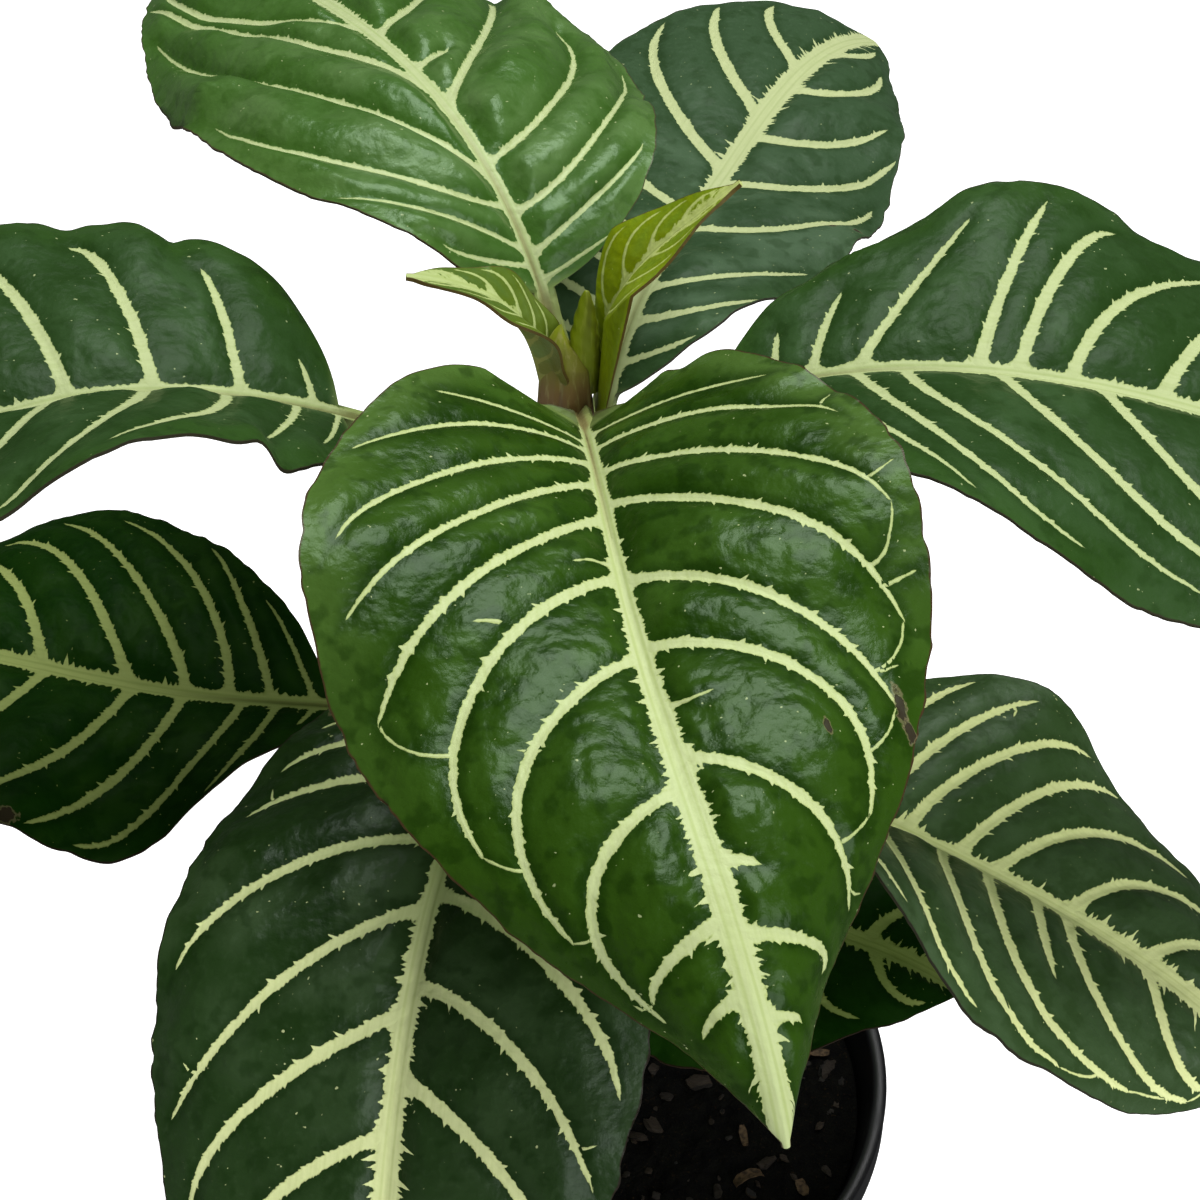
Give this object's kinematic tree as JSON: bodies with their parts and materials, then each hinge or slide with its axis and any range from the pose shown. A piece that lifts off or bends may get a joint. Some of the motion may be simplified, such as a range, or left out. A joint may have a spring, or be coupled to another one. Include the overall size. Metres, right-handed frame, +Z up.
{
  "type": "potted zebra plant",
  "caption": "Upright houseplant in a tapered pot: broad pointed dark green leaves in crossed pairs, each with pale toothed veins, over a small opening pair at the tip.",
  "frame": {"origin": "centre of the pot's flat underside, on the surface that the pot stands on", "axes": "+Z up along the pot's axis and the stem, -Y toward the viewer in the picture, where the top front leaf points, +X to the viewer's right"},
  "size_m": [0.3351, 0.3186, 0.3311],
  "materials": {
    "leaf": "glossy deep green leaf with cream veins",
    "young_leaf": "satin yellow-green young leaf with cream veins and a reddish edge",
    "stem": "satin brown-green stem",
    "soil": "rough dark potting soil with bark",
    "pot": "satin black plastic"
  },
  "bodies": {
    "root": {"pot": "pot", "soil": "soil", "stem": "stem", "bud": "young_leaf", "leaf_top_front": "leaf", "leaf_top_back": "leaf", "leaf_upper_left": "leaf", "leaf_upper_right": "leaf", "leaf_middle_back": "leaf", "leaf_middle_front": "leaf", "leaf_lower_left": "leaf", "leaf_lower_right": "leaf", "leaf_bottom_back": "leaf", "leaf_bottom_front": "leaf", "leaf_bottom_right": "leaf", "leaf_bottom_left": "leaf", "young_leaf_left": "young_leaf", "young_leaf_right": "young_leaf"}
  },
  "joints": []
}
